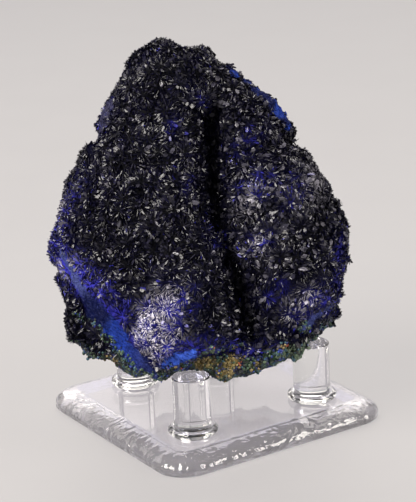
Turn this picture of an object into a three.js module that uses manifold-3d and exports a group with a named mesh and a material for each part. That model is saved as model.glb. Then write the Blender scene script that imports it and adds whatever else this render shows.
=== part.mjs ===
// Azurite and malachite specimen on a clear acrylic peg stand, in millimetres, +Z up.
// The origin is the centre of the base plate's underside. +X is the viewer's right, +Y points away
// from the viewer, and the stand is turned under the stone, one corner towards the viewer.

import * as THREE from 'three'
import { mergeVertices } from 'three/addons/utils/BufferGeometryUtils.js'
import Module from 'manifold-3d'

const wasm = await Module()
wasm.setup()
const { degToRad, smoothstep, lerp, seededRandom } = THREE.MathUtils

// Stand sizes
const PLATE_SIDE = 88
const PLATE_THICKNESS = 6.35
const PLATE_CORNER_RADIUS = 11
const RIM_WIDTH = 6
const RIM_DROP = 1.4
const STAND_TURN = degToRad(32.2)
const PEG_RADIUS = 6.35
const PEG_TOP = 26.65
const PEG_EDGE = 0.4
const COLLAR_RADIUS = 8.5
const COLLAR_HEIGHT = 2.8
const GAP = 0.3
const ROUND_STEPS = 24
const CORNER_STEPS = 6
const RIM_STEPS = 3
const COLLAR_STEPS = 4

// Pegs as places on the plate, along its two sides
const PEGS = {
  front: [-24.5, -24.7],
  right: [24.4, -24.9],
  left: [-16.7, 25.7],
  back: [14.7, 21.5]
}

// The stone is shaped in a frame of its own: x to the right, y up along its leaning face, z towards
// the viewer. The frame's middle and its lean place it on the stand.
const STONE_MIDDLE = [0, 0, 84]
const LEAN = degToRad(22.9)

// Outline of the face, round the middle from the right
const OUTLINE = [
  [38.5, 3], [36, 7], [33, 10], [33, 14.5], [28, 21], [22, 28], [16, 33], [11, 36], [8, 40], [5, 43],
  [-1, 45], [-6, 48], [-11, 48.5], [-18, 46], [-24, 42], [-25, 38], [-30, 31], [-33, 25], [-35, 19],
  [-36, 15], [-41, 13], [-44, 7], [-47, 0], [-50, -6], [-52, -13], [-53.5, -20], [-53, -24],
  [-50, -33], [-49, -42], [-49, -50], [-45, -55], [-36, -58], [-30, -62], [-22, -66], [-16, -67.5],
  [-8, -65], [2, -67.5], [10, -67], [20, -63], [28, -61], [35, -54.5], [42, -50], [44, -43],
  [46.5, -33], [47, -28], [49, -21], [46, -13], [42, -4]
]

// The crystals' tips reach the outline, and the body that they grow on lies this far inside it
const CRUST = 1.2

// Depth in front of the outline, behind it, and further behind towards the foot
const FRONT_DEPTH = 23
const BACK_DEPTH = 33
const FOOT_DEPTH = 47
const ROUNDING = 2.5
const OUTLINE_TOP = 48
const OUTLINE_FOOT = 66
const TOP_SHIFT = 13
const FOOT_SHIFT = 6
const RELIEF_START = 9
const FORM_DETAIL = 10
const FORM_ROUGHNESS = 2

// Lumps and hollows of the face: middle x and y, spread across and along, and height
const LUMPS = [
  [-20, -8, 17, 20, 7],
  [-10, 33, 13, 12, 4],
  [-30, 12, 9, 9, 3],
  [-8, -40, 14, 13, 5],
  [31, -4, 10, 13, 6],
  [16, -4, 6, 6, 3],
  [15, 17, 8, 5, 4],
  [22, -20, 7, 6, 4],
  [35, -42, 9, 10, 5],
  [24, -34, 5, 7, 3],
  [20, 30, 8, 5, 2],
  [13, -17, 4, 4, -4],
  [-21, -8, 3.4, 3.4, -5],
  [9, 24, 5, 3, -3],
  [21, 7, 5, 3, -3]
]

// The dark cleft that runs down the face, its places from top to bottom as x, y and half width
const CLEFT = [[3, 20, 3], [3.5, 6, 5], [5, -12, 5], [8, -26, 3.5], [12, -42, 4.5], [14, -58, 3.5]]
const CLEFT_DEPTH = 9

// Ledge of massive azurite at the lower left. Beyond this line the lower lobe lies further back, and
// the wall between them, a smooth break, slopes this far for each millimetre that it rises.
const LEDGE_START = [-58, -24.5]
const LEDGE_END = [-16, -70.5]
const LEDGE_FLOOR = 11
const LEDGE_SLOPE = 0.5
const LEDGE_REACH = 60

// Fringe of matrix at the foot, set back under the lower edge of the crystal crust
const FRINGE = [[-13, -67], [-4, -59], [10, -57], [26, -58], [33, -52], [46, -56], [46, -80], [-13, -80]]
const FRINGE_FLOOR = 13

// Faces where the stone broke from its bed: a point, the direction that the face looks in, and how
// rough it is. The three small ones at the edges are smooth, and the three large ones are the back.
const BREAKS = [
  { point: [23.5, 28, 0], looks: [0.72, 0.69, 0.12], rough: 0.3 },
  { point: [-33, 22, -4], looks: [-0.88, 0.32, -0.35], rough: 0.3 },
  { point: [-50, -12, -6], looks: [-0.86, 0.2, -0.46], rough: 0.3 },
  { point: [12, 12, -28], looks: [0.25, 0.35, -0.9], rough: 3 },
  { point: [-16, 8, -26], looks: [-0.42, 0.33, -0.85], rough: 3 },
  { point: [34, -20, -30], looks: [0.7, 0.1, -0.7], rough: 2.4 }
]
const BREAK_SIZE = 220
const BREAK_CELL = 12

// Underside: how far it hangs below the peg tops, how rough it is, and the hollows that the pegs fill
const HANG = 2.6
const UNDERSIDE_ROUGHNESS = 2
const HOLLOW_HEIGHT = 7
const HOLLOW_FLARE = 4
const HOLLOW_SIDES = 11

// Crystals that stand out of the crust: lozenge blades, and fewer and larger tablets. Each kind has
// the area of crust that one crystal stands on, its length, width and thickness, and how far it leans.
const BLADES = { area: 150, length: [6, 9], width: [3, 4.8], thickness: [1.4, 2.4], lean: [0.5, 1.8] }
const TABLETS = { area: 400, length: [5, 8], width: [3.4, 5.4], thickness: [1.2, 1.9], lean: [0.6, 1.8] }
const TABLET_TIP = { width: 0.6, thickness: 0.15 }
const CRUST_BACK = -14
const CRUST_BREAK_MARGIN = 1.5
const WALL_ANGLE = degToRad(12)

// Seeds of the random draws, and how close two corners are when they are one
const SEEDS = { form: 3, underside: 5, blades: 7, tablets: 11, breaks: 20 }
const SAME_PLACE = 1e-4

// A closed geometry as a solid, and a solid as a geometry
function solidOf(geometry) {
  const bare = geometry.clone()
  bare.deleteAttribute('normal')
  bare.deleteAttribute('uv')
  const merged = mergeVertices(bare, SAME_PLACE)
  const vertProperties = Float32Array.from(merged.attributes.position.array)
  const triVerts = Uint32Array.from(merged.index.array)
  return new wasm.Manifold(new wasm.Mesh({ numProp: 3, vertProperties, triVerts }))
}

function geometryOf(solid) {
  const mesh = solid.getMesh()
  const geometry = new THREE.BufferGeometry()
  geometry.setAttribute('position', new THREE.BufferAttribute(mesh.vertProperties, 3))
  geometry.setIndex(new THREE.BufferAttribute(mesh.triVerts, 1))
  geometry.computeVertexNormals()
  return geometry
}

// Reach of the outline in each direction round the middle
const rim = OUTLINE
  .map(([x, y]) => ({ angle: Math.atan2(y, x), reach: Math.hypot(x, y) }))
  .sort((a, b) => a.angle - b.angle)

function outlineReach(angle) {
  let after = rim.findIndex((place) => place.angle > angle)
  if (after < 0) after = 0
  const next = rim[after]
  const last = rim[(after + rim.length - 1) % rim.length]
  const span = (next.angle - last.angle + 2 * Math.PI) % (2 * Math.PI)
  const part = ((angle - last.angle + 2 * Math.PI) % (2 * Math.PI)) / span
  return lerp(last.reach, next.reach, part)
}

// How far a place on the face lies from the cleft's line, in half widths
function cleftDistance(x, y) {
  let nearest = Infinity
  for (let i = 1; i < CLEFT.length; i += 1) {
    const [x0, y0, w0] = CLEFT[i - 1]
    const [x1, y1, w1] = CLEFT[i]
    const along = ((x - x0) * (x1 - x0) + (y - y0) * (y1 - y0)) / ((x1 - x0) ** 2 + (y1 - y0) ** 2)
    const part = THREE.MathUtils.clamp(along, 0, 1)
    const distance = Math.hypot(x - lerp(x0, x1, part), y - lerp(y0, y1, part)) / lerp(w0, w1, part)
    nearest = Math.min(nearest, distance)
  }
  return nearest
}

// How far lumps, hollows and the cleft bring a place of the face forward
function relief(x, y) {
  let height = 0
  for (const [x0, y0, across, along, rise] of LUMPS) {
    height += rise * Math.exp(-(((x - x0) / across) ** 2) - ((y - y0) / along) ** 2)
  }
  return height - CLEFT_DEPTH * Math.exp(-(cleftDistance(x, y) ** 2))
}

// Point of the stone's surface in a direction from its middle
function stonePoint(direction) {
  const flat = Math.hypot(direction.x, direction.y)
  const reach = outlineReach(Math.atan2(direction.y, direction.x)) - CRUST
  const behind = BACK_DEPTH + FOOT_DEPTH * Math.max(0, -direction.y)
  const depth = direction.z > 0 ? FRONT_DEPTH : behind
  const fall = (flat / reach) ** ROUNDING + (Math.abs(direction.z) / depth) ** ROUNDING
  const point = direction.clone().multiplyScalar(fall ** (-1 / ROUNDING))
  point.z += smoothstep(point.z, 0, RELIEF_START) * relief(point.x, point.y)
  const topward = Math.max(0, point.y) / OUTLINE_TOP
  const footward = Math.max(0, -point.y) / OUTLINE_FOOT
  point.z += TOP_SHIFT * topward ** 2 + FOOT_SHIFT * footward ** 2
  return point
}

// The body: an even net of triangles, its corners moved a little in and out at random
function formGeometry() {
  seededRandom(SEEDS.form)
  const sphere = new THREE.IcosahedronGeometry(1, FORM_DETAIL)
  sphere.deleteAttribute('normal')
  sphere.deleteAttribute('uv')
  const form = mergeVertices(sphere, SAME_PLACE)
  const position = form.attributes.position
  const direction = new THREE.Vector3()
  for (let i = 0; i < position.count; i += 1) {
    direction.fromBufferAttribute(position, i).normalize()
    const point = stonePoint(direction)
    point.addScaledVector(direction, FORM_ROUGHNESS * (seededRandom() - 0.5))
    position.setXYZ(i, point.x, point.y, point.z)
  }
  return form
}

// What is cut away over the lower lobe: a length with the section of the ledge's wall and floor
function ledgeGeometry() {
  const start = new THREE.Vector3(...LEDGE_START, 0)
  const along = new THREE.Vector3(...LEDGE_END, 0).sub(start)
  const length = along.length()
  const wallTop = -LEDGE_SLOPE * (LEDGE_REACH - LEDGE_FLOOR)
  const section = new THREE.Shape([
    new THREE.Vector2(0, LEDGE_FLOOR),
    new THREE.Vector2(LEDGE_REACH, LEDGE_FLOOR),
    new THREE.Vector2(LEDGE_REACH, LEDGE_REACH),
    new THREE.Vector2(wallTop, LEDGE_REACH)
  ])
  const cut = new THREE.ExtrudeGeometry(section, { depth: length, bevelEnabled: false })
  const back = along.clone().normalize().negate()
  const up = new THREE.Vector3(0, 0, 1)
  const outward = new THREE.Vector3().crossVectors(up, back)
  cut.applyMatrix4(new THREE.Matrix4().makeBasis(outward, up, back))
  return cut.translate(start.x + along.x, start.y + along.y, 0)
}

function fringeGeometry() {
  const outline = new THREE.Shape(FRINGE.map(([x, y]) => new THREE.Vector2(x, y)))
  const cut = new THREE.ExtrudeGeometry(outline, { depth: LEDGE_REACH, bevelEnabled: false })
  return cut.translate(0, 0, FRINGE_FLOOR)
}

// A large block whose top is a rough face, in cells, with its middle at the origin
function roughBlock(roughness, seed) {
  seededRandom(seed)
  const cells = Math.round(BREAK_SIZE / BREAK_CELL)
  const block = new THREE.BoxGeometry(BREAK_SIZE, BREAK_SIZE, BREAK_SIZE, cells, cells, 1)
  block.deleteAttribute('normal')
  block.deleteAttribute('uv')
  block.translate(0, 0, -BREAK_SIZE / 2)
  const merged = mergeVertices(block, SAME_PLACE)
  const position = merged.attributes.position
  for (let i = 0; i < position.count; i += 1) {
    const height = roughness * (seededRandom() - 0.5)
    if (position.getZ(i) > -1) position.setZ(i, height)
  }
  return merged
}

// What lies beyond a break, to be cut away
function breakGeometry({ point, looks, rough }, index) {
  const inward = new THREE.Vector3(...looks).normalize().negate()
  const block = roughBlock(rough, SEEDS.breaks + index)
  block.applyQuaternion(new THREE.Quaternion().setFromUnitVectors(new THREE.Vector3(0, 0, 1), inward))
  return block.translate(...point)
}

// A lozenge blade: a flattened double pyramid. Its middle lies in the crust, so one end stands out.
function bladeGeometry(length, width, thickness) {
  return new THREE.OctahedronGeometry(1).scale(width / 2, thickness / 2, length / 2)
}

// A tablet: a thin plate whose free end is pinched to a chisel edge
function tabletGeometry(length, width, thickness) {
  const tablet = new THREE.BoxGeometry(width, thickness, length)
  const position = tablet.attributes.position
  for (let i = 0; i < position.count; i += 1) {
    if (position.getZ(i) > 0) {
      position.setX(i, position.getX(i) * TABLET_TIP.width)
      position.setY(i, position.getY(i) * TABLET_TIP.thickness)
    }
  }
  return tablet
}

function between([low, high]) {
  return lerp(low, high, seededRandom())
}

// A random direction square to another one
function squareTo(normal) {
  const any = new THREE.Vector3(seededRandom() - 0.5, seededRandom() - 0.5, seededRandom() - 0.5)
  return any.cross(normal).normalize()
}

// Crystals grow on the front and the sides, and leave the flat breaks, the ledge's wall and the back
function onCrust(point, normal) {
  const clear = BREAKS.every((face) => {
    const looks = new THREE.Vector3(...face.looks).normalize()
    return point.clone().sub(new THREE.Vector3(...face.point)).dot(looks) < -CRUST_BREAK_MARGIN
  })
  const onWall = normal.angleTo(ledgeWall()) < WALL_ANGLE && point.y < LEDGE_START[1]
  return clear && !onWall && point.z > CRUST_BACK
}

// The direction that the ledge's wall looks in
function ledgeWall() {
  const along = new THREE.Vector2(...LEDGE_END).sub(new THREE.Vector2(...LEDGE_START)).normalize()
  return new THREE.Vector3(along.y, -along.x, LEDGE_SLOPE).normalize()
}

// One kind of crystal over the crust, evenly by area: the body's triangles are walked in order, and
// each time that enough area has gone by, one crystal is set on the triangle that is reached
function crystalGeometries(body, kind, shape, seed) {
  seededRandom(seed)
  const crystals = []
  const triangle = new THREE.Triangle()
  const normal = new THREE.Vector3()
  const middle = new THREE.Vector3()
  let due = kind.area * seededRandom()
  for (let i = 0; i < body.index.count; i += 3) {
    const corners = [0, 1, 2].map((corner) => body.index.getX(i + corner))
    triangle.setFromAttributeAndIndices(body.attributes.position, ...corners)
    triangle.getMidpoint(middle)
    triangle.getNormal(normal)
    if (!onCrust(middle, normal)) continue
    due -= triangle.getArea()
    if (due > 0) continue
    due += kind.area * between([0.8, 1.2])
    const outward = normal.clone().addScaledVector(squareTo(normal), between(kind.lean)).normalize()
    const crystal = shape(between(kind.length), between(kind.width), between(kind.thickness))
    crystal.rotateZ(seededRandom() * Math.PI)
    crystal.applyQuaternion(new THREE.Quaternion().setFromUnitVectors(new THREE.Vector3(0, 0, 1), outward))
    crystal.translate(middle.x, middle.y, middle.z)
    crystals.push(crystal)
  }
  return crystals
}

// Rough ground that the underside is cut to
function undersideGeometry() {
  return roughBlock(UNDERSIDE_ROUGHNESS, SEEDS.underside).translate(0, 0, PEG_TOP - HANG)
}

// Peg places in the stone's world, after the stand's turn
function pegPlace([along, across]) {
  return new THREE.Vector2(along, across).rotateAround(new THREE.Vector2(0, 0), STAND_TURN)
}

// Hollow over a peg: a cup that is flat over the peg's end and flares downwards
function hollowGeometry(peg) {
  const place = pegPlace(peg)
  const top = PEG_RADIUS + GAP
  const cup = new THREE.CylinderGeometry(top, top + HOLLOW_FLARE, HOLLOW_HEIGHT, HOLLOW_SIDES)
  cup.rotateX(Math.PI / 2)
  return cup.translate(place.x, place.y, PEG_TOP + GAP - HOLLOW_HEIGHT / 2)
}

function stoneGeometry() {
  let stone = solidOf(formGeometry())
  stone = stone.subtract(solidOf(ledgeGeometry())).subtract(solidOf(fringeGeometry()))
  const body = geometryOf(stone)
  const blades = crystalGeometries(body, BLADES, bladeGeometry, SEEDS.blades)
  const tablets = crystalGeometries(body, TABLETS, tabletGeometry, SEEDS.tablets)
  for (const crystal of [...blades, ...tablets]) stone = stone.add(solidOf(crystal))
  for (const cut of BREAKS.map(breakGeometry)) stone = stone.subtract(solidOf(cut))
  const upright = geometryOf(stone)
  upright.rotateX(Math.PI / 2 - LEAN)
  upright.translate(...STONE_MIDDLE)
  let resting = solidOf(upright).subtract(solidOf(undersideGeometry()))
  for (const peg of Object.values(PEGS)) resting = resting.subtract(solidOf(hollowGeometry(peg)))
  return geometryOf(resting)
}

// Plate: a square with round corners, its upper edge drawn down to a wide polished rim
function plateGeometry() {
  const half = PLATE_SIDE / 2
  const straight = half - PLATE_CORNER_RADIUS
  const outline = new THREE.Shape()
  const corners = [[1, 1], [-1, 1], [-1, -1], [1, -1]]
  corners.forEach(([x, y], i) => {
    const start = (i * Math.PI) / 2
    outline.absarc(x * straight, y * straight, PLATE_CORNER_RADIUS, start, start + Math.PI / 2)
  })
  const blank = new THREE.ExtrudeGeometry(outline, {
    depth: PLATE_THICKNESS,
    curveSegments: CORNER_STEPS,
    bevelThickness: RIM_DROP,
    bevelSize: RIM_WIDTH,
    bevelOffset: -RIM_WIDTH,
    bevelSegments: RIM_STEPS
  })
  blank.translate(0, 0, -RIM_DROP)
  const below = new THREE.BoxGeometry(2 * PLATE_SIDE, 2 * PLATE_SIDE, PLATE_THICKNESS)
  below.translate(0, 0, -PLATE_THICKNESS / 2)
  return geometryOf(solidOf(blank).subtract(solidOf(below)))
}

function pegGeometry() {
  const height = PEG_TOP - PLATE_THICKNESS
  const profile = [
    [0, 0],
    [PEG_RADIUS, 0],
    [PEG_RADIUS, height - PEG_EDGE],
    [PEG_RADIUS - PEG_EDGE, height],
    [0, height]
  ]
  const points = profile.map(([r, z]) => new THREE.Vector2(r, z))
  return new THREE.LatheGeometry(points, ROUND_STEPS).rotateX(Math.PI / 2)
}

// Collar: a ring with a flat foot and a half-round outside
function collarGeometry() {
  const inner = PEG_RADIUS + GAP
  const profile = [new THREE.Vector2(inner, 0)]
  for (let i = 0; i <= COLLAR_STEPS; i += 1) {
    const angle = -Math.PI / 2 + (Math.PI * i) / COLLAR_STEPS
    const bulge = Math.cos(angle) * COLLAR_HEIGHT / 2
    const z = COLLAR_HEIGHT / 2 + Math.sin(angle) * COLLAR_HEIGHT / 2
    profile.push(new THREE.Vector2(COLLAR_RADIUS - COLLAR_HEIGHT / 2 + bulge, z))
  }
  profile.push(new THREE.Vector2(inner, COLLAR_HEIGHT))
  profile.push(new THREE.Vector2(inner, 0))
  return new THREE.LatheGeometry(profile, ROUND_STEPS).rotateX(Math.PI / 2)
}

const azurite = new THREE.MeshStandardMaterial({ color: 0x14183a, roughness: 0.25, metalness: 0 })
const acrylic = new THREE.MeshStandardMaterial({
  color: 0xeceaf2, roughness: 0.05, metalness: 0, transparent: true, opacity: 0.35
})

function part(name, geometry, material) {
  const mesh = new THREE.Mesh(geometry, material)
  mesh.name = name
  return mesh
}

const model = new THREE.Group()
const stand = new THREE.Group()
stand.rotation.z = STAND_TURN
stand.add(part('base_plate', plateGeometry(), acrylic))
for (const [side, [x, y]] of Object.entries(PEGS)) {
  const peg = part(`peg_${side}`, pegGeometry(), acrylic)
  const collar = part(`collar_${side}`, collarGeometry(), acrylic)
  peg.position.set(x, y, PLATE_THICKNESS)
  collar.position.set(x, y, PLATE_THICKNESS)
  stand.add(peg, collar)
}
model.add(stand, part('specimen', stoneGeometry(), azurite))

export default model
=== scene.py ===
"""Azurite and malachite specimen on a clear acrylic peg stand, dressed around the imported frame.

Everything is in metres in the frame's axes: +X is the viewer's right, +Y points away, +Z is up, and
the origin is the centre of the base plate's underside.
"""

import math

import bmesh
import bpy
import numpy as np
from bpy.props import FloatProperty, FloatVectorProperty, PointerProperty
from mathutils import Matrix, Vector, kdtree, noise


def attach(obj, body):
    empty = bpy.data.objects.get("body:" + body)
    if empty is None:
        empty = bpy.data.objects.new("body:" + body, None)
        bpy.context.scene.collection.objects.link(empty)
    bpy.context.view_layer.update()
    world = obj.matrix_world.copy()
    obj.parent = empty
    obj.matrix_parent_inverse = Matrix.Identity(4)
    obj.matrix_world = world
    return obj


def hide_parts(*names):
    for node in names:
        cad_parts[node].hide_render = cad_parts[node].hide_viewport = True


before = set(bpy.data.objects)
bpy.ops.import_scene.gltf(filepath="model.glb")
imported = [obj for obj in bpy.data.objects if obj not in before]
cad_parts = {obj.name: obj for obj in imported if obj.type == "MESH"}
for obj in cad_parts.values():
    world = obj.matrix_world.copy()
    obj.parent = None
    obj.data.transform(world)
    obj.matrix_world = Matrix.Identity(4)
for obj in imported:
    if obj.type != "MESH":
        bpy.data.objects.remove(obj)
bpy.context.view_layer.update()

bl_info = {
    "name": "Azurite and malachite specimen",
    "version": (1, 0, 0),
    "blender": (4, 5, 0),
    "location": "3D View > Sidebar > Specimen",
    "description": "Builds an azurite and malachite specimen on a clear acrylic peg stand",
    "category": "Object",
}

MM = 0.001
BODY = "root"

# Vertices closer than this are one, in metres
MERGE = 1e-6

# Arc of the plate's rim, and the steps of the rim, of a collar's half round and of a full turn
RIM_ARC = math.radians(60)
RIM_STEPS = 9
COLLAR_STEPS = 14
ROUND_STEPS = 72

# Refractive indices, and how strongly the acrylic's tint shows
AZURITE_INDEX = 1.78
STONE_INDEX = 1.6
ACRYLIC_INDEX = 1.49
TINT_DENSITY = 2.5

# Sockets by number: of a Map Range node, and of a Mix node for colours
VALUE, LOW, HIGH, TO_LOW, TO_HIGH = range(5)
SHARE, UNDER, OVER, MIXED = 0, 6, 7, 2

# Pegs as places on the plate, along its two sides, in millimetres
PEGS = {
    "front": (-24.5, -24.7),
    "right": (24.4, -24.9),
    "left": (-16.7, 25.7),
    "back": (14.7, 21.5),
}

# The stone is described in a frame of its own, in millimetres: x to the right, y up its leaning
# face and z towards the viewer.
STONE_MIDDLE = np.array((0.0, 0.0, 84.0))
LEAN = math.radians(22.9)
STONE_AXES = np.array((
    (1.0, 0.0, 0.0),
    (0.0, math.sin(LEAN), math.cos(LEAN)),
    (0.0, -math.cos(LEAN), math.sin(LEAN)),
))

# The front peg's end shows whole under the stone, whose edge rises over it with this slope
SIGHT_SLOPE = 0.42

# Ledge of massive azurite: the line of its wall's foot
LEDGE_START = np.array((-58.0, -24.5))
LEDGE_END = np.array((-16.0, -70.5))

# The band of massive azurite on that wall: how far along the ledge, and how far its crest and its foot
# lie out from the ledge's line
BAND = np.array((
    (4, -8.9, -8.2), (10, -7.2, -6.3), (15, -5.7, -4.3), (20, -4.8, -2.6), (27, -5.0, 0.2),
    (35, -4.6, 0.8), (43, -3.0, 1.1), (50, -2.6, 0.2), (55, -2.2, -0.8), (60, -1.9, -1.5),
))

# Broken sides, left of the face: a point and the direction that each looks in
BREAKS = (
    ((-33.0, 22.0, -4.0), (-0.88, 0.32, -0.35)),
    ((-50.0, -12.0, -6.0), (-0.86, 0.2, -0.46)),
)

# Patches of massive azurite, in millimetres: x, y, half length, half width, turn in degrees, strength
MASS_PATCHES = (
    (-11.0, -60.5, 7.8, 1.7, 15, 1.0),
    (-32, 21.8, 6.8, 2.6, 68, 1.0),
    (35.4, -48.5, 8.6, 0.85, 38, 0.9),
)

# Strip of massive azurite along the upper right edge of the face: x, y and half width
EDGE_STRIP = np.array((
    (10, 34.8, 0.9), (13, 33.2, 1.2), (16.7, 31.2, 1.5), (19.3, 28.3, 1.6), (22.3, 25, 2.1),
    (25.5, 21.5, 2.6), (28.8, 17.5, 2.5), (31.5, 14.2, 1.2),
))

# Lower edge of the crystal crust, below which the matrix shows: x and y in the stone's frame
CRUST_FOOT = np.array((
    (-60, -50), (-46, -52.5), (-38, -55.5), (-31, -57), (-28, -58.5), (-22, -62), (-16, -63.5),
    (-10, -61.8), (-4, -60.2), (6, -59.5), (12, -60.8), (18, -60), (22, -58), (25, -56.8), (33, -56.8),
    (36, -60), (48, -58),
))

# Where the crystals are fine, with few tablets and plates: values as for the patches
FINE_SPOTS = ((33, -43, 15, 10, 38, 1.1), (-22, -50, 16, 9, 50, 0.7))

# Spots of malachite in the crust: values as for the patches
GREEN_SPOTS = ((31, -51.6, 2.4, 1.4, 35, 1.0), (-43.5, -45, 2.5, 1.0, -60, 0.8))

# Where thin crystals let blue light out: values as for the patches
GLOWS = (
    (-48, -27, 9, 5, -40, 0.62), (-50, -15, 7, 3.5, 80, 0.6), (-38, -37, 12, 4.5, -48, 0.6),
    (-29, -46, 10, 4, -48, 0.5), (-19, -50, 10, 7, 60, 0.42), (-11, -46, 7, 4.5, 50, 0.65),
    (-10, -57.5, 8, 3.0, 15, 1.2), (3, -58.5, 12, 2.2, 4, 0.9), (35, -45.5, 9, 4.5, 32, 0.55),
    (44, -30, 8, 2.2, 85, 0.5), (17, -24, 4, 3, 20, 0.4), (22.4, -40.4, 4, 3, 40, 0.5),
    (-9, 15.8, 3, 2, 60, 0.3), (0, 24.8, 4, 2, -50, 0.25), (-5, -4.7, 3, 2, 80, 0.2),
    (4, -21, 4, 4, 70, 0.2), (-44, -5, 8, 3, 60, 0.25), (-33, 21, 7, 2, 70, 0.4),
    (18, -5, 6, 4, 10, 0.45), (15, 10, 6, 3, 40, 0.25), (30, -8, 6, 4, 70, 0.2),
)

# Where the crystals' faces are turned to the light and get a painted sheen, a pale colour that stands in for
# the light they catch: values as for the patches
PAINTED_SHEEN_SPOTS = (
    (-19.5, -49.5, 7.5, 4.6, 55, 1.15), (-14, -42.5, 5, 3.6, 40, 0.85),
    (-19.5, -58.5, 4, 2.6, 60, 0.7), (-12, -53, 4.5, 3, 45, 0.45), (31, -44.5, 6.0, 3.6, 35, 0.38),
    (-45, -29, 6, 3.5, -30, 0.2), (-48.5, -4, 11, 2.2, 72, 0.42), (14, -10, 5, 3, 60, 0.25),
    (15.5, -25, 4.2, 3.4, 20, 0.18), (36, -4, 6, 4, 60, 0.22),
)

# Rusty spots in the matrix: values as for the patches
RUSTS = (
    (-2.6, -61.5, 3.4, 2.0, 20, 1.7), (6.0, -62.2, 3.6, 2.2, 50, 1.5), (2.2, -64.2, 2.0, 1.0, 30, 0.5),
    (-33.5, -58.5, 2.5, 1.2, -30, 0.8), (24, -57.4, 2.2, 1.0, 0, 0.9), (-12, -62.5, 2.0, 1.0, 0, 0.6),
    (15, -62.5, 2.0, 1.0, 20, 0.6),
)

# Powdery malachite, the palest: values as for the patches
PALE_SPOTS = (
    (29, -59, 5.0, 3.5, 20, 1.3), (30.6, -52, 2.6, 1.6, 35, 1.2), (-14, -62.4, 3.0, 1.0, 20, 0.5),
    (-24, -61.5, 3.0, 1.0, -40, 0.5),
)

# Softboxes: the place in metres, width, height and watts. The one behind shows in the clear plate.
SOFTBOXES = {
    "key_softbox": ((-0.5, -0.35, 0.62), 0.6, 0.48, 19.0),
    "right_softbox": ((0.75, -0.25, 0.4), 0.33, 0.66, 10.5),
    "left_rim_softbox": ((-0.6, 0.45, 0.35), 0.3, 0.6, 1.1),
    "top_rim_softbox": ((0.0, 0.75, 0.68), 1.1, 0.5, 4.5),
    "over_rim_softbox": ((0.5, 0.35, 0.9), 0.45, 0.45, 1.8),
    "back_softbox": ((0.0, 1.1, 0.42), 1.5, 0.4, 2.2),
    "front_fill": ((0.15, -1.1, 0.95), 1.6, 1.0, 0.8),
}
LIGHTS_AIM = (0.0, 0.0, 0.07)
LIGHTS_COLOUR = (1.0, 0.95, 0.88)

# Half the floor's width, and how far it lies below the plate, in metres
FLOOR_HALF = 4.0
FLOOR_DROP = 0.2 * MM

# The air of the studio: its colour, and its strength from the horizon up
AIR_COLOUR = (0.93, 0.94, 1.0, 1.0)
AIR_SPAN = {LOW: 0.02, HIGH: 0.16, TO_LOW: 0.7, TO_HIGH: 0.03}

# The camera's place, how far it looks down, its roll, a hair of turn, and its lens in millimetres
CAMERA_PLACE = (-0.00017, -0.67121, 0.28183)
CAMERA_PITCH = math.radians(18.382)
CAMERA_ROLL = math.radians(-2.6206)
CAMERA_SWING = 0.00046
CAMERA_LENS = 147.88

# Growth lines on the crystals' faces, drawn about three times as coarse as real ones to show
STRIATION = 0.25 * MM

# Nudges of the outline, in millimetres: x, y and radius, and how far to the right and up the face
NUDGES = (
    (-18.5, 47, 6.0, 0.6, -3.0), (-12, 49, 6.5, 0.0, -0.9), (-4.5, 47.5, 7.5, 0.0, -3.2),
    (8, 41, 7.0, -1.3, -1.3), (13, 34.5, 6.0, 0.5, 0.9), (24.5, 24.5, 7.0, 1.0, 1.0),
    (30.5, 10.5, 5.0, -3.0, 0.0), (-46, 3, 11.0, -1.6, 0.3), (-54, -19, 15.0, -1.9, 0.0),
    (-35, 25, 8.0, -1.2, 0.0), (-39, -57, 7.5, -0.5, -2.5), (-31, -59, 5.0, 0.0, -1.2),
    (-26.5, -62.5, 6.0, 0.0, -2.6), (-17.5, -65.5, 6.0, 0.0, -1.2), (3, -65.5, 6.5, 0.0, -2.2),
    (14, -65, 9.0, 0.0, -1.2), (21.5, -62, 5.5, 0.0, -1.3), (29.5, -59, 5.5, 0.0, -3.0),
    (36.5, -54.5, 6.0, 0.0, -1.5),
)

# The cleft between the lobes: x, y, and how far it is sunk and how wide
CLEFT = np.array((
    (5.5, 26, 0.0, 2.2), (4.0, 18, 3.2, 2.6), (3.4, 8, 4.6, 3.1), (3.6, -3.5, 5.2, 3.2),
    (4.4, -14, 4.6, 2.8), (6.4, -22, 3.2, 2.6), (8.8, -31, 4.4, 2.8), (10.8, -38, 5.6, 3.3),
    (13.2, -45, 5.4, 3.2), (15.4, -52, 3.8, 2.9), (16.0, -57, 1.2, 2.2),
))

# Kinds of crystals: the property that holds their spacing, spans of width, thickness and length in
# # millimetres, the share of fans that stand on edge, how much painted sheen the palest get, and the most in
# a piece
CRYSTALS = {
    "blades": ("blade_spacing", ((0.26, 0.6), (0.12, 0.25), (1.3, 2.6)), 0.65, 0.0, 16000),
    "tablets": ("tablet_spacing", ((0.5, 1.1), (0.18, 0.36), (1.4, 2.6)), 0.4, 0.03, 9900),
    "plates": ("plate_spacing", ((1.1, 2.2), (0.35, 0.6), (2.0, 3.8)), 0.1, 0.13, 4000),
    "needles": ("needle_spacing", ((0.16, 0.4), (0.1, 0.2), (0.7, 1.5)), 0.5, 0.0, 16000),
}
FIBRE_SPANS = ((0.2, 0.5), (0.12, 0.3), (0.7, 1.7))

# How far crystals lean at a rosette's centre, what they add by its edge, and the bounds, in radians
FAN_LEAN = 0.75
FAN_OPENING = 0.55
FAN_SPAN = (0.2, 1.5)

# Kinds of grains: the span of their sizes in millimetres, and their usual tone
GRAINS = {"matrix_grains": ((0.6, 1.3), 0.5), "back_crumbs": ((0.9, 2.0), 0.36)}

# Room that crystals and grains leave around the pegs' ends, and over them
CRYSTAL_ROOM = (1.4 * MM, 4.2 * MM)
CRUMB_ROOM = (0.9 * MM, 1.6 * MM)

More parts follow.
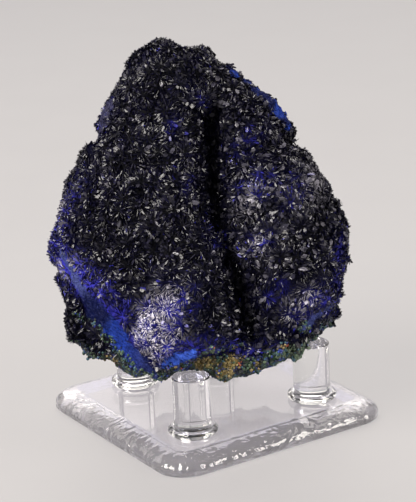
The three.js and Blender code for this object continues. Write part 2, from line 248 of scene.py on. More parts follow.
# Random places tried, of which about one stays for each cell of the spacing, and the seeds
ROSETTE_CANDIDATES = 4000
FIBRE_CANDIDATES = 40000
GRAIN_CANDIDATES = 60000
SEEDS = {
    "rosettes": 3,
    "blades": 7,
    "tablets": 11,
    "plates": 13,
    "needles": 23,
    "fibres": 29,
    "matrix_grains": 17,
    "back_crumbs": 31,
}


def linear(code):
    """A hex sRGB colour as linear red, green and blue."""
    parts = (int(code[i : i + 2], 16) / 255 for i in (1, 3, 5))
    return tuple(c / 12.92 if c <= 0.04045 else ((c + 0.055) / 1.055) ** 2.4 for c in parts)


def metres(name, description, default):
    """A property that holds a length in metres."""
    return FloatProperty(name=name, description=description, default=default, unit="LENGTH")


def hex_colour(name, description, code):
    """A property that holds a colour, given as hex sRGB."""
    return FloatVectorProperty(name=name, description=description, default=linear(code), subtype="COLOR")


class StandSizes(bpy.types.PropertyGroup):
    """Sizes of the clear stand."""

    plate_side: metres("Plate side", "Side of the square plate", 0.088)
    plate_thickness: metres("Plate thickness", "Thickness of the plate's sheet", 0.00635)
    corner_radius: metres("Corner radius", "Radius of the plate's corners", 0.011)
    rim_width: metres("Rim width", "Width of the plate's polished round rim", 0.008)
    rim_drop: metres("Rim drop", "How far the rim falls below the plate's top", 0.0047)
    turn: FloatProperty(
        name="Turn",
        description="Turn of the stand under the stone",
        default=math.radians(32.2),
        unit="ROTATION",
    )
    peg_radius: metres("Peg radius", "Radius of a peg", 0.00635)
    peg_top: metres("Peg top", "Height of the pegs' ends over the ground", 0.02665)
    peg_edge: metres("Peg edge", "Bevel round a peg's end", 0.0004)
    collar_radius: metres("Collar radius", "Outer radius of a peg's collar", 0.0085)
    collar_height: metres("Collar height", "Height of a peg's collar", 0.0028)
    collar_gap: metres("Collar gap", "Gap between a peg and its collar", 0.0003)


class StoneSizes(bpy.types.PropertyGroup):
    """Sizes of the stone's surface and of its crystals."""

    voxel: metres("Voxel", "Mesh width of the stone's body", 0.0009)
    crust: metres("Crust", "Depth of the body under the crystals' tips", 0.0012)
    rosette: metres("Rosette", "Usual distance between crystal rosettes", 0.0066)
    dome: metres("Dome", "Usual height of a rosette", 0.0013)
    blade_spacing: metres("Blade spacing", "Distance between blades", 0.0007)
    tablet_spacing: metres("Tablet spacing", "Distance between tablets", 0.0017)
    plate_spacing: metres("Plate spacing", "Distance between large crystals", 0.0042)
    fibre_spacing: metres("Fibre spacing", "Distance between azurite fibres", 0.00055)
    needle_spacing: metres("Needle spacing", "Distance between etched needles", 0.00045)
    crumb_spacing: metres("Crumb spacing", "Distance between crumbs of the broken back", 0.0013)
    grain_spacing: metres("Grain spacing", "Distance between matrix grains", 0.00098)


class FinishColours(bpy.types.PropertyGroup):
    """Colours of the finishes."""

    crystal_dark: hex_colour("Crystal, dark", "Thick azurite crystal", "#030306")
    crystal_deep: hex_colour("Crystal, deep", "Azurite crystal of middling thickness", "#0b0a20")
    crystal_violet: hex_colour("Crystal, lit", "Thin azurite crystal, lit through", "#2f2e99")
    # Painted sheen: a pale colour that stands in for light caught by the crystals' faces
    crystal_painted_sheen: hex_colour("Crystal, frosted", "Etched crystal faces", "#d2cedc")
    massive_azurite: hex_colour("Massive azurite", "Azurite in one mass", "#1b3489")
    massive_pale: hex_colour("Massive azurite, pale", "Powdery massive azurite", "#394071")
    massive_bruised: hex_colour("Massive azurite, bruised", "Bruised massive azurite", "#292738")
    massive_clear: hex_colour("Massive azurite, clear", "Fresh massive azurite", "#3b5cc1")
    massive_dark: hex_colour("Massive azurite, dark", "Dense massive azurite", "#050b32")
    malachite_light: hex_colour("Malachite, light", "Powdery malachite", "#50604a")
    malachite_mid: hex_colour("Malachite", "Malachite", "#38513a")
    malachite_dark: hex_colour("Malachite, dark", "Dense malachite", "#0b1410")
    blue_green: hex_colour("Blue-green", "Malachite grown with azurite", "#284c5e")
    limonite: hex_colour("Limonite", "Ochre limonite", "#7e6e46")
    limonite_dark: hex_colour("Limonite, dark", "Brown limonite", "#322916")
    host_rock: hex_colour("Host rock", "Weathered sandstone", "#635141")
    rust: hex_colour("Rust", "Red-brown iron stain", "#8e4021")
    acrylic: hex_colour("Acrylic", "Tint of the clear acrylic", "#e4e6f4")
    acrylic_sheet: hex_colour("Acrylic sheet", "Cast of the plate's surface", "#f8f6fc")
    floor: hex_colour("Floor", "Pale studio floor", "#3e3c3b")
    floor_mottle: hex_colour("Floor, mottle", "Paler spots of the floor", "#6c6c6c")
    floor_light: hex_colour("Floor, light", "Light from below the floor", "#fffafa")


# Materials


def add(tree, kind, values=None, output=0, **settings):
    """Adds a node and returns one of its outputs, if it has any. Values are its inputs, as constants or
    as outputs to link, and settings are the node's own."""
    node = tree.nodes.new(f"ShaderNode{kind}")
    for name, value in settings.items():
        setattr(node, name, value)
    for key, value in (values or {}).items():
        socket = node.inputs[key]
        if isinstance(value, bpy.types.NodeSocket):
            tree.links.new(value, socket)
        else:
            socket.default_value = (*value, 1.0) if socket.type == "RGBA" else value
    return None if output is None else node.outputs[output]


def new_material(name):
    """An empty material, and its node tree."""
    material = bpy.data.materials.new(name)
    material.use_nodes = True
    material.node_tree.nodes.clear()
    return material, material.node_tree


def surfaced(material, values, tint=None):
    """Ends a material with its surface and, where it is clear, with the tint that long paths give it."""
    tree = material.node_tree
    ends = {"Surface": add(tree, "BsdfPrincipled", values)}
    if tint is not None:
        ends["Volume"] = add(tree, "VolumeAbsorption", {"Color": tint, "Density": TINT_DENSITY})
    add(tree, "OutputMaterial", ends, None)
    return material


def layered(tree, base, *layers):
    """A base colour with others laid over it. A layer is the value that shows it, its colour and, where
    it comes in between two values, those two and, where not all of it shows at the second, how much."""
    for value, shade, *span in layers:
        if span:
            value = add(tree, "MapRange", {VALUE: value, **dict(zip((LOW, HIGH, TO_HIGH), span))})
        base = add(tree, "Mix", {SHARE: value, UNDER: base, OVER: shade}, MIXED, data_type="RGBA")
    return base


def crystal_material(colours):
    """Azurite crystal, grown: a glass-smooth face of high index over a body so deep a blue that it
    reads black, except where a crystal is thin enough for violet light to come through."""
    material, tree = new_material("azurite_crystal")
    coords = add(tree, "TexCoord", output="Object")
    tone, glow, painted_sheen, across = (
        add(tree, "Attribute", output="Fac", attribute_name=name)
        for name in ("tone", "glow", "painted_sheen", "across")
    )
    # The painted sheen lays a pale colour that stands in for light caught by the faces, and also roughens
    # them
    shades = (tone, colours.crystal_deep), (glow, colours.crystal_violet), (painted_sheen, colours.crystal_painted_sheen)
    colour = layered(tree, colours.crystal_dark, *shades)
    rough = add(tree, "MapRange", {VALUE: tone, TO_LOW: 0.03, TO_HIGH: 0.14})
    rough = add(tree, "Math", {0: painted_sheen, 1: 0.25, 2: rough}, operation="MULTIPLY_ADD")
    ridges = {"W": across, "Scale": 1 / STRIATION, "Detail": 1.0}
    ridges = add(tree, "TexNoise", ridges, noise_dimensions="1D")
    pits = {"Vector": coords, "Scale": 1 / (0.4 * MM), "Detail": 1.0, "Roughness": 0.55}
    pits = add(tree, "TexNoise", pits)
    bump = add(tree, "Bump", {"Height": ridges, "Strength": 0.35, "Distance": 0.05 * MM})
    pitted = {"Height": pits, "Strength": 0.2, "Distance": 0.05 * MM, "Normal": bump}
    bump = add(tree, "Bump", pitted)
    finish = {"Base Color": colour, "Roughness": rough, "IOR": AZURITE_INDEX}
    return surfaced(material, {**finish, "Specular IOR Level": 0.125, "Normal": bump})


def band_turn():
    """The turn that lays a pattern's first axis along the ledge."""
    along = np.array((*(LEDGE_END - LEDGE_START), 0.0))
    along = along / np.linalg.norm(along) @ STONE_AXES
    outward = np.array((0.0, -1.0, 0.0))
    across = np.cross(outward, along)
    axes = (along, across / np.linalg.norm(across), np.cross(along, across))
    return Matrix(np.array(axes).T.tolist()).to_euler()


def rock_colour(tree, colours, fine, broad, rusty):
    """Malachite and limonite, as grown and weathered: powdery green with dark dense grains and blue
    veins, and ochre and rust where iron came in."""
    greens = (fine, colours.malachite_mid, 0.42, 0.72), (broad, colours.massive_dark, 0.53, 0.6)
    green = layered(tree, colours.malachite_dark, *greens)
    ochres = (fine, colours.limonite, 0.4, 0.6), (fine, colours.rust, 0.66, 0.7)
    ochre = layered(tree, colours.limonite_dark, *ochres)
    crumbly = add(tree, "MapRange", {VALUE: fine, LOW: 0.36, HIGH: 0.5})
    stained = add(tree, "Math", {0: rusty, 1: crumbly}, operation="MULTIPLY")
    return layered(tree, green, (stained, ochre))


def broken_colour(tree, colours, fine, zone):
    """The broken back: brown limonite and host rock, with crusts of malachite and lumps of dense
    azurite, all cut by the break."""
    brown = layered(tree, colours.limonite_dark, (fine, colours.host_rock))
    green = layered(tree, colours.malachite_dark, (fine, colours.malachite_mid, 0.4, 0.65))
    blue = layered(tree, colours.massive_dark, (fine, colours.massive_azurite, 0.45, 0.75))
    return layered(tree, green, (zone["rusty"], brown, 0.3, 0.6), (zone["blue"], blue, 0.4, 0.6))


def band_colour(tree, colours):
    """Massive azurite by its place along the ledge's band: bruised before it starts, powdery and pale
    at its start, dense and dark in its middle, royal blue after it, bruised again at its end, and clear
    beyond."""
    along = add(tree, "Attribute", output="Fac", attribute_name="along")
    colour = layered(tree, colours.massive_bruised, (along, colours.massive_pale, 0.0, 0.05))
    for low, high, shade in ((0.3, 0.38, colours.massive_dark), (0.52, 0.6, colours.massive_azurite)):
        span = {VALUE: along, LOW: low, HIGH: high}
        share = add(tree, "MapRange", span, interpolation_type="SMOOTHSTEP")
        colour = layered(tree, colour, (share, shade))
    ends = (along, colours.massive_bruised, 0.7, 0.84, 0.6), (along, colours.massive_clear, 1.05, 1.15)
    return layered(tree, colour, *ends)


def ground_material(colours):
    """The stone under its crystals: dark azurite druse, smooth massive azurite on the ledge and the
    breaks, malachite and limonite matrix at the foot, and a rough mix of all on the broken back."""
    material, tree = new_material("azurite_on_malachite_matrix")
    coords = add(tree, "TexCoord", output="Object")
    zone = {
        name: add(tree, "Attribute", output="Fac", attribute_name=name)
        for name in ("wall", "back", "matrix", "glow", "rusty", "blue")
    }
    turned = {"Vector": coords, "Rotation": band_turn(), "Scale": (7.0, 1.0, 1.0)}
    drawn = add(tree, "Mapping", turned, vector_type="TEXTURE")
    fine, middling, streaks = (
        add(tree, "TexNoise", dict(zip(("Vector", "Scale", "Detail", "Roughness"), values)))
        for values in (
            (coords, 1 / (1.1 * MM), 4.0, 0.7),
            (coords, 1 / (4.0 * MM), 3.0, 0.55),
            (drawn, 1 / (0.8 * MM), 4.0, 0.6),
        )
    )
    pale = (streaks, colours.massive_pale, 0.55, 0.75, 0.3)
    dense = (streaks, colours.massive_dark, 0.46, 0.3, 0.7)
    colour = layered(
        tree,
        colours.crystal_dark,
        (zone["glow"], colours.crystal_violet),
        (zone["wall"], layered(tree, band_colour(tree, colours), pale, dense)),
        (zone["back"], broken_colour(tree, colours, fine, zone)),
        (zone["matrix"], rock_colour(tree, colours, fine, middling, zone["rusty"])),
    )
    rough = {VALUE: fine, LOW: 0.3, HIGH: 0.7, TO_LOW: 0.42, TO_HIGH: 0.75}
    rough = add(tree, "MapRange", rough)
    bump = add(tree, "Bump", {"Height": fine, "Strength": 0.7, "Distance": 0.5 * MM})
    scored = {"Height": streaks, "Strength": 0.9, "Distance": 0.3 * MM, "Normal": bump}
    bump = add(tree, "Bump", scored)
    finish = {"Base Color": colour, "Roughness": rough, "IOR": STONE_INDEX}
    return surfaced(material, {**finish, "Specular IOR Level": 0.03, "Normal": bump})


def fibre_material(colours):
    """Massive azurite where it broke across its fibres: silky splinters, each of one shade of blue,
    darker in the middle of the band."""
    material, tree = new_material("fibrous_massive_azurite")
    tone = add(tree, "Attribute", output="Fac", attribute_name="tone")
    shades = (tone, colours.massive_pale, 0.6, 1.0, 0.4), (tone, colours.massive_dark, 0.4, 0.1, 0.85)
    colour = layered(tree, band_colour(tree, colours), *shades)
    finish = {"Base Color": colour, "Roughness": 0.5, "IOR": STONE_INDEX, "Specular IOR Level": 0.05}
    return surfaced(material, finish)


def grain_material(colours):
    """Malachite, chrysocolla, azurite and limonite crumbs, weathered: dull, and each grain of one
    shade, from green-black through malachite green to blue-green, dark blue, or ochre and rust."""
    material, tree = new_material("malachite_and_limonite_grains")
    coords = add(tree, "TexCoord", output="Object")
    tone, rusty, blue = (
        add(tree, "Attribute", output="Fac", attribute_name=name)
        for name in ("tone", "rusty", "blue")
    )
    pits = {"Vector": coords, "Scale": 1 / (0.5 * MM), "Detail": 3.0, "Roughness": 0.6}
    pits = add(tree, "TexNoise", pits)
    green = layered(
        tree,
        colours.malachite_dark,
        (tone, colours.malachite_mid, 0.15, 0.55),
        (tone, colours.blue_green, 0.55, 0.62),
        (tone, colours.malachite_dark, 0.74, 0.8),
        (tone, colours.malachite_light, 0.84, 0.9),
    )
    ochres = (tone, colours.limonite, 0.2, 0.5), (tone, colours.rust, 0.93, 0.94)
    ochre = layered(tree, colours.limonite_dark, *ochres)
    azure = layered(tree, colours.massive_dark, (tone, colours.massive_azurite, 0.5, 0.9))
    hollows = (pits, colours.malachite_dark, 0.5, 0.72, 0.6)
    colour = layered(tree, green, (rusty, ochre), (blue, azure), hollows)
    bump = add(tree, "Bump", {"Height": pits, "Strength": 0.5, "Distance": 0.15 * MM})
    return surfaced(material, {"Base Color": colour, "Roughness": 0.55, "Normal": bump})


def plate_material(colours):
    """Clear acrylic sheet, cast, its rim polished with a flame: index 1.49, a trace of lavender in long
    paths, slow swirling waves where the rim was melted round, and a film of dust and scuffs on top."""
    material, tree = new_material("clear_acrylic_sheet")
    coords = add(tree, "TexCoord", output="Object")
    rim = add(tree, "Attribute", output="Fac", attribute_name="rim")
    pulled = {"Vector": coords, "Scale": (4.0, 4.0, 0.8)}
    pulled = add(tree, "Mapping", pulled, vector_type="TEXTURE")
    swirls, lines = (coords, 7.5 * MM, 1.8, 0.6, 1.6 * MM), (pulled, 1.8 * MM, 1.0, 0.45, 0.4 * MM)
    relief = {}
    for at, size, swirl, strength, depth in (swirls, lines):
        waves = {"Vector": at, "Scale": 1 / size, "Detail": 1.0, "Roughness": 0.5, "Distortion": swirl}
        waves = add(tree, "TexNoise", waves)
        waves = add(tree, "Math", {0: waves, 1: rim}, operation="MULTIPLY")
        waves = {"Height": waves, "Strength": strength, "Distance": depth, **relief}
        relief = {"Normal": add(tree, "Bump", waves)}
    specks = {"Vector": coords, "Scale": 1 / (0.5 * MM), "Detail": 2.0, "Roughness": 0.55}
    specks = add(tree, "TexNoise", specks)
    rough = {VALUE: specks, LOW: 0.6, HIGH: 0.75, TO_LOW: 0.03, TO_HIGH: 0.3}
    rough = add(tree, "MapRange", rough)
    finish = {"Base Color": colours.acrylic_sheet, "Roughness": rough, "IOR": ACRYLIC_INDEX, **relief}
    return surfaced(material, {**finish, "Transmission Weight": 0.93}, colours.acrylic)


def rod_material(colours):
    """Clear acrylic rod, extruded and polished: index 1.49, with the faint draw lines of the die."""
    material, tree = new_material("clear_acrylic_rod")
    coords = add(tree, "TexCoord", output="Object")
    drawn = {"Vector": coords, "Scale": (1.0, 1.0, 12.0)}
    drawn = add(tree, "Mapping", drawn, vector_type="TEXTURE")
    lines = {"Vector": drawn, "Scale": 1 / (2.5 * MM), "Detail": 1.5, "Roughness": 0.4}
    lines = add(tree, "TexNoise", lines)
    bump = add(tree, "Bump", {"Height": lines, "Strength": 0.05, "Distance": 1.0 * MM})
    finish = {"Base Color": (1.0, 1.0, 1.0), "Roughness": 0.01, "IOR": ACRYLIC_INDEX, "Normal": bump}
    return surfaced(material, {**finish, "Transmission Weight": 1.0}, colours.acrylic)


def floor_material(colours):
    """Opal acrylic sheet of a light table, matt and faintly mottled, lit softly from below, so that the
    clear stand doesn't darken it."""
    material, tree = new_material("matt_opal_floor")
    coords = add(tree, "TexCoord", output="Object")
    mottle = {"Vector": coords, "Scale": 1 / (50 * MM), "Detail": 3.0, "Roughness": 0.55}
    mottle = add(tree, "TexNoise", mottle)
    colour = layered(tree, colours.floor, (mottle, colours.floor_mottle, 0.3, 0.7, 0.06))
    lit = {"Emission Color": colours.floor_light, "Emission Strength": 0.48}
    return surfaced(material, {"Base Color": colour, "Roughness": 0.6, **lit})


# Meshes


def linked(name, data):
    """A new object in the scene."""
    thing = bpy.data.objects.new(name, data)
    bpy.context.scene.collection.objects.link(thing)
    return thing


def finished(mesh, name, material, replaced=(), smooth=False):
    """Links a mesh as a piece of the object that rides on the body."""
    mesh.name = name
    mesh.materials.clear()
    mesh.materials.append(material)
    mesh.polygons.foreach_set("use_smooth", np.full(len(mesh.polygons), smooth))
    piece = linked(name, mesh)
    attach(piece, BODY)
    if replaced:
        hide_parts(*replaced)


def mesh_of(bm, name):
    """A mesh from a closed bmesh, its faces turned outwards."""
    bmesh.ops.recalc_face_normals(bm, faces=bm.faces)
    mesh = bpy.data.meshes.new(name)
    bm.to_mesh(mesh)
    bm.free()
    return mesh


def stand_turn(stand):
    """The turn of the stand about the upright axis."""
    return Matrix.Rotation(stand.turn, 4, "Z")


def peg_place(stand, peg):
    """The place of a peg's foot on the plate's top."""
    place = stand_turn(stand) @ Vector((PEGS[peg][0] * MM, PEGS[peg][1] * MM, 0.0))
    place.z = stand.plate_thickness
    return place


def spun(profile, place, closed):
    """A round form from a profile of radius and height pairs, spun about an upright axis at a place."""
    bm = bmesh.new()
    verts = [bm.verts.new((r, 0.0, z)) for r, z in profile]
    edges = [bm.edges.new(pair) for pair in zip(verts, verts[1:])]
    if closed:
        edges.append(bm.edges.new((verts[-1], verts[0])))
    turn = {"axis": (0, 0, 1), "cent": (0, 0, 0), "angle": math.tau, "steps": ROUND_STEPS}
    bmesh.ops.spin(bm, geom=verts + edges, use_merge=True, **turn)
    bmesh.ops.remove_doubles(bm, verts=bm.verts, dist=MERGE)
    bmesh.ops.translate(bm, verts=bm.verts, vec=place)
    return bm


def corners(mesh, name, width=1):
    """A point attribute of a mesh as an array."""
    values = np.empty(len(mesh.vertices) * width, np.float32)
    key = "value" if width == 1 else "vector"
    mesh.attributes[name].data.foreach_get(key, values)
    return values if width == 1 else values.reshape(-1, width)


def keep_attribute(mesh, name, values):
    """Writes a point attribute."""
    wide = values.ndim == 2
    layer = mesh.attributes.new(name, "FLOAT_VECTOR" if wide else "FLOAT", "POINT")
    layer.data.foreach_set("vector" if wide else "value", values.astype(np.float32).ravel())


def largest_part(mesh):
    """Leaves only the part of a mesh that hangs together and has the most vertices."""
    bm = bmesh.new()
    bm.from_mesh(mesh)
    left, best = set(bm.verts), set()
    while left:
        seed = left.pop()
        part, edge = {seed}, [seed]
        while edge:
            edge = [v for u in edge for e in u.link_edges for v in (e.other_vert(u),) if v in left]
            edge = list(set(edge))
            left.difference_update(edge)
            part.update(edge)
        best = max(best, part, key=len)
    bmesh.ops.delete(bm, geom=[v for v in bm.verts if v not in best], context="VERTS")
    bm.to_mesh(mesh)
    bm.free()


def places_and_normals(mesh):
    """The vertices of a mesh and their normals as arrays."""
    places = np.empty(len(mesh.vertices) * 3, np.float32)
    normals = np.empty(len(mesh.vertices) * 3, np.float32)
    mesh.vertices.foreach_get("co", places)
    mesh.vertex_normals.foreach_get("vector", normals)
    return places.reshape(-1, 3).astype(float), normals.reshape(-1, 3).astype(float)


def to_stone(places):
    """Places in the stone's own frame, in millimetres."""
    return (places / MM - STONE_MIDDLE) @ STONE_AXES.T


def step(value, low, high):
    """A smooth step from 0 at low to 1 at high."""
    t = np.clip((value - low) / (high - low), 0.0, 1.0)
    return t * t * (3 - 2 * t)


def spots(flat, table):
    """The strength of a table of soft oval spots at places of the face."""
    total = np.zeros(len(flat))
    for x, y, length, width, turn, strength in table:
        c, s = math.cos(math.radians(turn)), math.sin(math.radians(turn))
        dx, dy = flat[:, 0] - x, flat[:, 1] - y
        along, across = (c * dx + s * dy) / length, (-s * dx + c * dy) / width
        total += strength * np.exp(-(along**2) - across**2)
    return total


def line_points(table, fineness):
    """A table's line with this many times its points, as an array for each column."""
    knots = range(len(table))
    places = np.linspace(0, knots[-1], fineness * len(table))
    return (np.interp(places, knots, column) for column in table.T)


def rough_field(places, size, seed):
    """Noise of lumps of this size, in metres, at places."""
    offset = Vector((seed * 7.3, seed * 3.1, seed * 1.7))
    return np.array([noise.noise(Vector(p) / size + offset) for p in places])


def unit(vectors):
    """Vectors of length one."""
    return vectors / np.maximum(np.linalg.norm(vectors, axis=-1, keepdims=True), 1e-12)


def zones(places, normals):
    """What each place of the body's surface is made of, as strengths from 0 to 1, and where the crystals
    get a painted sheen. Distances in the stone's own frame are in millimetres."""
    local, facing = to_stone(places), normals @ STONE_AXES.T
    flat, fore = local[:, :2], local[:, 2]
    wander = rough_field(places, 4 * MM, 1)
    ragged = rough_field(places, 1.6 * MM, 2)

    # The band of massive azurite on the ledge's wall, and the bare edge around it
    along = unit(LEDGE_END - LEDGE_START)
    from_start = flat - LEDGE_START
    far = from_start @ along
    out = from_start @ np.array((along[1], -along[0])) + 0.5 * ragged + 0.8 * wander
    crest, toe = (np.interp(far, BAND[:, 0], BAND[:, i]) for i in (1, 2))
    stretch = step(fore, 5.0, 8.0) * step(far, 4.0, 7.0) * step(-far, -60.0, -58.0)
    wall = step(out, crest - 0.3, crest + 0.3) * step(-out, -toe - 0.3, 0.3 - toe) * stretch
    bare = step(out, crest - 1.1, crest - 0.5) * step(-out, -toe - 1.1, -toe - 0.5) * stretch

    # The strip along the upper right edge and the patches, more ragged behind the outline
    x, y, half = line_points(EDGE_STRIP, 8)
    apart = np.hypot(flat[:, :1] - x, flat[:, 1:] - y)
    deep = step(-fore, -12.0, -5.0)
    strip = (half - apart).max(axis=1) + 0.8 * ragged + deep * (1.6 * ragged + 2.0 * wander - 0.5)
    torn = step(fore + 7.0 * wander + 2.0 * ragged, 3.5, 5.5)
    away = step(-facing[:, 2] - 0.3 * wander, 0.0, 0.35)
    torn *= step(0.4 - 0.42 * away - rough_field(places, 2.6 * MM, 11), 0.0, 0.08)
    wall = np.maximum(wall, step(strip, -0.2, 0.2) * torn)
    patch = spots(flat, MASS_PATCHES) + 0.12 * ragged + deep * (0.3 * ragged + 0.4 * wander)
    wall = np.maximum(wall, step(patch, 0.4, 0.5) * torn)

    # Malachite and limonite below the crust, in spots of it, and in a seam under the band
    seam = step(-np.abs(out - toe - 0.4), -0.65, -0.3) * step(far, 24, 32) * (1 - wall)
    foot = np.interp(flat[:, 0], CRUST_FOOT[:, 0], CRUST_FOOT[:, 1])
    below = foot - flat[:, 1] + 1.4 * wander + 0.8 * ragged
    matrix = np.maximum(step(below, -0.6, 0.6), step(spots(flat, GREEN_SPOTS) + 0.2 * ragged, 0.4, 0.5))
    under = step(-normals[:, 2] - 0.25 * wander, 0.5, 0.7) * step(-places[:, 2], -45 * MM, -36 * MM)
    matrix = np.maximum(np.maximum(matrix, under), np.where(fore > 4, seam, 0.0))
    matrix *= 1 - wall

    # The broken back and sides
    back = step(-fore + 3 * wander, 13.0, 15.0)
    back = np.maximum(back, step(-facing[:, 2], 0.75, 0.9) * step(-fore, 2.0, 6.0))
    for point, looks in BREAKS:
        looks = unit(np.array(looks))
        near = step(-np.abs((local - np.array(point)) @ looks), -1.8, -0.9) * step(facing @ looks, 0.75, 0.9)
        back = np.maximum(back, near * step(-fore + 2.5 * wander, 3.0, 5.0))
    back *= 1 - wall

    # Tints of the grains and of the massive azurite, and the painted sheen of the crystals
    front = step(fore, -11.0, -2.0)
    painted_sheen = np.clip(spots(flat, PAINTED_SHEEN_SPOTS), 0, 1) * front
    pale = np.clip(spots(flat, PALE_SPOTS) * front + 0.6 * seam, 0, 1)
    ochre = 0.2 + 0.75 * step(rough_field(places, 16 * MM, 6) + 0.25 * ragged, -0.35, 0.25)
    rusty = np.clip(spots(flat, RUSTS) * front + ochre * (1 - front), 0, 1)
    lumped = step(rough_field(places, 12 * MM, 7) + 0.3 * ragged, 0.05, 0.35)
    beside = np.where(flat[:, 0] > -17.5, 1.2, np.clip(far / 60.0, 0.0, 1.0))
    mottled = 0.52 + 0.14 * wander + 0.05 * ragged
    beside = np.where(flat[:, 0] > 0, np.where(flat[:, 1] > 0, mottled, 0.2), beside)
    return {
        "wall": wall,
        "matrix": matrix,
        "back": back,
        "glow": np.clip(spots(flat, GLOWS), 0, 1.3) * front,
        "painted_sheen": painted_sheen,
        "rusty": rusty,
        "blue": 0.3 * front * (1 - rusty) * (1 - pale) + (0.05 + 0.6 * lumped) * (1 - front),
        "pale": pale,
        "along": beside,
        "crust": (1 - np.maximum(wall, bare)) * (1 - matrix) * (1 - back),
        # Where the painted sheen is strong; needles grow there in place of blades
        "sheen_patch": step(painted_sheen, 0.3, 0.45),
        "hidden": step(-fore, 4.0, 10.0),
        "right": step(flat[:, 0], 0.0, 8.0),
        "fine": np.clip(spots(flat, FINE_SPOTS), 0, 1) * front,
    }


def thinned(places, spacing, rng):
    """Which of these places to keep, so that about one is left for each cell of this width."""
    order = rng.permutation(len(places))
    cells = np.floor(places[order] / spacing).astype(int)
    _, first = np.unique(cells, axis=0, return_index=True)
    return np.sort(order[first])


def scattered(mesh, weights, count, rng):
    """Random places on a mesh, as triangle corners and shares of them, spread by area and weight."""
    mesh.calc_loop_triangles()
    triangles = np.empty(len(mesh.loop_triangles) * 3, np.int32)
    mesh.loop_triangles.foreach_get("vertices", triangles)
    triangles = triangles.reshape(-1, 3)
    places, _ = places_and_normals(mesh)
    a, b, c = (places[triangles[:, i]] for i in range(3))
    area = np.linalg.norm(np.cross(b - a, c - a), axis=1) * weights[triangles].mean(axis=1)
    chosen = rng.choice(len(triangles), count, p=area / area.sum())
    u, v = rng.random(count), rng.random(count)
    flip = u + v > 1
    u, v = np.where(flip, 1 - u, u), np.where(flip, 1 - v, v)
    return triangles[chosen], np.stack((1 - u - v, u, v), axis=1)


def shared(values, corner, share):
    """Values of a mesh's vertices, read at scattered places."""
    picked = values[corner]
    if picked.ndim == 3:
        return (picked * share[:, :, None]).sum(axis=1)
    return (picked * share).sum(axis=1)


def off_pegs(places, room, over):
    """Which places are clear of the pegs' ends by this much room around and over them."""
    stand = bpy.context.scene.specimen_stand
    clear = np.ones(len(places), bool)
    for peg in PEGS:
        foot = peg_place(stand, peg)
        apart = np.hypot(places[:, 0] - foot.x, places[:, 1] - foot.y)
        clear &= (apart > stand.peg_radius + room) | (places[:, 2] > stand.peg_top + over)
    return clear


def placed(mesh, weights, count, spacing, rng, room=None, fading=False):
    """Random places on a mesh, about one for each cell of this width, from a count of candidates that
    are spread by area and weight: their triangles' corners, the shares of them, the places, and the ways
    out of the surface. Room is what is left around the pegs' ends and over them, and where fading is
    set, fewer places stay where the weight is low."""
    places, normals = places_and_normals(mesh)
    corner, share = scattered(mesh, weights, count, rng)
    at = shared(places, corner, share)
    keep = thinned(at, spacing, rng)
    if fading:
        keep = keep[rng.random(len(keep)) < shared(weights, corner[keep], share[keep])]
    if room:
        keep = keep[off_pegs(at[keep], *room)]
    corner, share = corner[keep], share[keep]
    return corner, share, at[keep], unit(shared(normals, corner, share))


def prototype(bm):
    """A small bmesh as arrays: its vertices, the vertex of each face corner, and where each face starts."""
    bmesh.ops.recalc_face_normals(bm, faces=bm.faces)
    bm.verts.index_update()
    places = np.array([v.co for v in bm.verts])
    loops = [[v.index for v in face.verts] for face in bm.faces]
    bm.free()
    starts = np.cumsum([0] + [len(face) for face in loops[:-1]])
    return places, np.array(sum(loops, [])), starts


def lath():
    """A four-sided blade, one unit wide, thick and long with its foot at -0.4, and a slanted thin end."""
    bm = bmesh.new()
    bmesh.ops.create_cube(bm, size=1.0)
    bmesh.ops.translate(bm, verts=bm.verts, vec=(0, 0, 0.1))
    end = [v for v in bm.verts if v.co.z > 0.3]
    bmesh.ops.scale(bm, verts=end, vec=(0.8, 0.3, 1.0))
    bmesh.ops.translate(bm, verts=[v for v in end if v.co.x > 0], vec=(0, 0, -0.15))
    foot = [v for v in bm.verts if v.co.z < -0.3]
    bmesh.ops.scale(bm, verts=foot, vec=(0.7, 0.7, 1.0))
    return prototype(bm)


def tablet():
    """A four-sided tablet with a bevelled end, and its foot at -0.4."""
    bevel = 0.22
    bm = bmesh.new()
    bmesh.ops.create_cube(bm, size=1.0)
    bmesh.ops.translate(bm, verts=bm.verts, vec=(0, 0, 0.1))
    cap = next(f for f in bm.faces if f.normal.z > 0.5)
    bmesh.ops.inset_region(bm, faces=[cap], thickness=bevel, depth=0.0)
    rim = [v for v in bm.verts if v.co.z > 0.3 and v not in cap.verts]
    bmesh.ops.translate(bm, verts=rim, vec=(0, 0, -bevel))
    foot = [v for v in bm.verts if v.co.z < -0.3]
    bmesh.ops.scale(bm, verts=foot, vec=(0.75, 0.75, 1.0))
    return prototype(bm)


def hexagonal_plate():
    """A six-sided plate, thin along y, its two broad faces bevelled, with its foot at -0.4."""
    bm = bmesh.new()
    bmesh.ops.create_cone(bm, cap_ends=True, segments=6, radius1=0.5, radius2=0.5, depth=1.0)
    bmesh.ops.rotate(bm, verts=bm.verts, matrix=Matrix.Rotation(math.pi / 2, 3, "X"))
    faces = [f for f in bm.faces if abs(f.normal.y) > 0.5]
    bmesh.ops.inset_region(bm, faces=faces, thickness=0.1, depth=0.0)
    inner = [v for f in faces for v in f.verts]
    outer = [v for v in bm.verts if v not in inner]
    bmesh.ops.scale(bm, verts=outer, vec=(1.0, 0.45, 1.0))
    bmesh.ops.translate(bm, verts=bm.verts, vec=(0, 0, 0.1))
    return prototype(bm)


def crumb(rng):
    """A rough round grain."""
    bm = bmesh.new()
    bmesh.ops.create_icosphere(bm, subdivisions=1, radius=0.5)
    for v in bm.verts:
        v.co *= 0.75 + 0.5 * rng.random()
    return prototype(bm)


